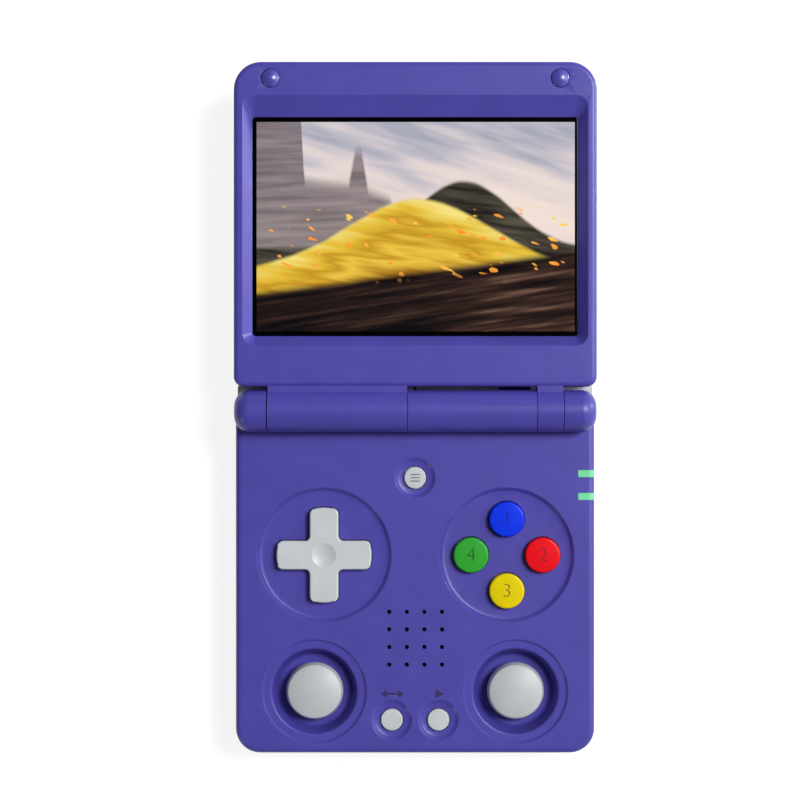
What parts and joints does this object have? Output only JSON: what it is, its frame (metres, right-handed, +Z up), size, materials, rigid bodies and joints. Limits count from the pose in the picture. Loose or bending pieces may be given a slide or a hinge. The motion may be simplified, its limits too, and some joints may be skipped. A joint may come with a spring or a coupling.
{
  "type": "clamshell handheld game console",
  "caption": "Pocket game console with a hinged lid that holds the screen, and a base with a D-pad, round face buttons, two thumbsticks and shoulder buttons.",
  "frame": {"origin": "centre of the base's flat bottom face, with the console on its back and opened out flat", "axes": "+X to the right of the player, +Y from the player towards the lid, +Z up out of the control face"},
  "size_m": [0.0818, 0.1566, 0.0236],
  "materials": {
    "shell_purple": "fine moulded satin ABS",
    "control_grey": "satin moulded ABS",
    "stick_grey": "soft-touch moulded cap",
    "button_blue": "satin gloss",
    "button_green": "satin gloss",
    "button_red": "satin gloss",
    "button_yellow": "satin gloss",
    "cover_glass": "polished, black printed border",
    "panel": "lit liquid crystal panel",
    "light_green": "translucent light pipe",
    "steel": "stamped or turned",
    "silicone": "moulded silicone",
    "board": "solder mask",
    "battery_foil": "foil pouch",
    "black_plastic": "moulded",
    "cable": "polyimide flex"
  },
  "bodies": {
    "base": {"base_top_shell": "shell_purple", "base_bottom_shell": "shell_purple", "case_screws": "steel", "mainboard": "board", "battery": "battery_foil", "speaker": "black_plastic", "speaker_mesh": "black_plastic", "hinge_cartridge": "steel", "hinge_sleeve": "steel", "base_display_cable": "cable", "dpad_membrane": "silicone", "face_button_membrane": "silicone", "menu_button_membrane": "silicone", "start_select_membrane": "silicone", "left_stick_module": "steel", "right_stick_module": "steel", "usb_socket": "steel", "headphone_jack": "black_plastic", "memory_card_slot": "steel", "power_light_pipe": "light_green", "charge_light_pipe": "light_green", "shoulder_switch_board": "board", "shoulder_pins": "steel", "hall_sensor": "black_plastic"},
    "lid": {"lid_front_shell": "shell_purple", "lid_back_shell": "shell_purple", "display_glass": "cover_glass", "display_panel": "panel", "lid_bumpers": "shell_purple", "lid_screws": "steel", "lid_magnet": "steel", "lid_display_cable": "cable", "hinge_shaft": "steel"},
    "dpad_pivot": {"dpad_pivot": "silicone"},
    "dpad": {"dpad": "control_grey"},
    "top_face_button": {"top_face_button": "button_blue"},
    "left_face_button": {"left_face_button": "button_green"},
    "right_face_button": {"right_face_button": "button_red"},
    "bottom_face_button": {"bottom_face_button": "button_yellow"},
    "menu_button": {"menu_button": "control_grey"},
    "select_button": {"select_button": "control_grey"},
    "start_button": {"start_button": "control_grey"},
    "left_stick_rocker": {"left_stick_rocker": "black_plastic"},
    "left_stick_fork": {"left_stick_fork": "black_plastic"},
    "left_thumbstick": {"left_thumbstick": "stick_grey"},
    "right_stick_rocker": {"right_stick_rocker": "black_plastic"},
    "right_stick_fork": {"right_stick_fork": "black_plastic"},
    "right_thumbstick": {"right_thumbstick": "stick_grey"},
    "left_inner_shoulder_button": {"left_inner_shoulder_button": "control_grey"},
    "right_inner_shoulder_button": {"right_inner_shoulder_button": "control_grey"},
    "left_outer_shoulder_button": {"left_outer_shoulder_button": "control_grey"},
    "right_outer_shoulder_button": {"right_outer_shoulder_button": "control_grey"},
    "volume_rocker": {"volume_rocker": "control_grey"},
    "power_button": {"power_button": "control_grey"}
  },
  "joints": [
    {"name": "lid_hinge", "type": "hinge", "parent": "base", "child": "lid", "pos_m": [0, 0.0359, 0.0189], "axis": [1, 0, 0], "range_deg": [0, 180]},
    {"name": "dpad_tilt_up_down", "type": "hinge", "parent": "base", "child": "dpad_pivot", "pos_m": [-0.0207, 0.00315, 0.0137], "axis": [1, 0, 0], "range_deg": [-4, 4], "stiffness_Nm_per_rad": 0.08},
    {"name": "dpad_tilt_left_right", "type": "hinge", "parent": "dpad_pivot", "child": "dpad", "pos_m": [-0.0207, 0.00315, 0.0137], "axis": [0, 1, 0], "range_deg": [-4, 4], "stiffness_Nm_per_rad": 0.08},
    {"name": "top_face_button_press", "type": "slide", "parent": "base", "child": "top_face_button", "axis": [0, 0, -1], "range_m": [0, 0.0012], "stiffness_N_per_m": 250, "springref_m": -0.0003},
    {"name": "left_face_button_press", "type": "slide", "parent": "base", "child": "left_face_button", "axis": [0, 0, -1], "range_m": [0, 0.0012], "stiffness_N_per_m": 250, "springref_m": -0.0003},
    {"name": "right_face_button_press", "type": "slide", "parent": "base", "child": "right_face_button", "axis": [0, 0, -1], "range_m": [0, 0.0012], "stiffness_N_per_m": 250, "springref_m": -0.0003},
    {"name": "bottom_face_button_press", "type": "slide", "parent": "base", "child": "bottom_face_button", "axis": [0, 0, -1], "range_m": [0, 0.0012], "stiffness_N_per_m": 250, "springref_m": -0.0003},
    {"name": "menu_button_press", "type": "slide", "parent": "base", "child": "menu_button", "axis": [0, 0, -1], "range_m": [0, 0.0007], "stiffness_N_per_m": 250, "springref_m": -0.0003},
    {"name": "select_button_press", "type": "slide", "parent": "base", "child": "select_button", "axis": [0, 0, -1], "range_m": [0, 0.0007], "stiffness_N_per_m": 250, "springref_m": -0.0003},
    {"name": "start_button_press", "type": "slide", "parent": "base", "child": "start_button", "axis": [0, 0, -1], "range_m": [0, 0.0007], "stiffness_N_per_m": 250, "springref_m": -0.0003},
    {"name": "left_stick_tilt_up_down", "type": "hinge", "parent": "base", "child": "left_stick_rocker", "pos_m": [-0.0229, -0.02795, 0.00825], "axis": [1, 0, 0], "range_deg": [-12, 12], "stiffness_Nm_per_rad": 0.015},
    {"name": "left_stick_tilt_left_right", "type": "hinge", "parent": "left_stick_rocker", "child": "left_stick_fork", "pos_m": [-0.0229, -0.02795, 0.00825], "axis": [0, 1, 0], "range_deg": [-12, 12], "stiffness_Nm_per_rad": 0.015},
    {"name": "left_stick_click", "type": "slide", "parent": "left_stick_fork", "child": "left_thumbstick", "axis": [0, 0, -1], "range_m": [0, 0.0004], "stiffness_N_per_m": 600, "springref_m": -0.0003},
    {"name": "right_stick_tilt_up_down", "type": "hinge", "parent": "base", "child": "right_stick_rocker", "pos_m": [0.0229, -0.02795, 0.00825], "axis": [1, 0, 0], "range_deg": [-12, 12], "stiffness_Nm_per_rad": 0.015},
    {"name": "right_stick_tilt_left_right", "type": "hinge", "parent": "right_stick_rocker", "child": "right_stick_fork", "pos_m": [0.0229, -0.02795, 0.00825], "axis": [0, 1, 0], "range_deg": [-12, 12], "stiffness_Nm_per_rad": 0.015},
    {"name": "right_stick_click", "type": "slide", "parent": "right_stick_fork", "child": "right_thumbstick", "axis": [0, 0, -1], "range_m": [0, 0.0004], "stiffness_N_per_m": 600, "springref_m": -0.0003},
    {"name": "left_inner_shoulder_press", "type": "hinge", "parent": "base", "child": "left_inner_shoulder_button", "pos_m": [0, 0.0395, 0.0044], "axis": [1, 0, 0], "range_deg": [0, 6], "stiffness_Nm_per_rad": 0.08, "springref_deg": -1.15},
    {"name": "left_outer_shoulder_press", "type": "hinge", "parent": "base", "child": "left_outer_shoulder_button", "pos_m": [0, 0.0395, 0.0044], "axis": [1, 0, 0], "range_deg": [0, 6], "stiffness_Nm_per_rad": 0.08, "springref_deg": -1.15},
    {"name": "right_inner_shoulder_press", "type": "hinge", "parent": "base", "child": "right_inner_shoulder_button", "pos_m": [0, 0.0395, 0.0044], "axis": [1, 0, 0], "range_deg": [0, 6], "stiffness_Nm_per_rad": 0.08, "springref_deg": -1.15},
    {"name": "right_outer_shoulder_press", "type": "hinge", "parent": "base", "child": "right_outer_shoulder_button", "pos_m": [0, 0.0395, 0.0044], "axis": [1, 0, 0], "range_deg": [0, 6], "stiffness_Nm_per_rad": 0.08, "springref_deg": -1.15},
    {"name": "volume_rock", "type": "hinge", "parent": "base", "child": "volume_rocker", "pos_m": [-0.03855, 0.02, 0.0102], "axis": [0, 0, 1], "range_deg": [-2.5, 2.5], "stiffness_Nm_per_rad": 0.08},
    {"name": "power_button_press", "type": "slide", "parent": "base", "child": "power_button", "axis": [-1, 0, 0], "range_m": [0, 0.0005], "stiffness_N_per_m": 500, "springref_m": -0.0003}
  ]
}
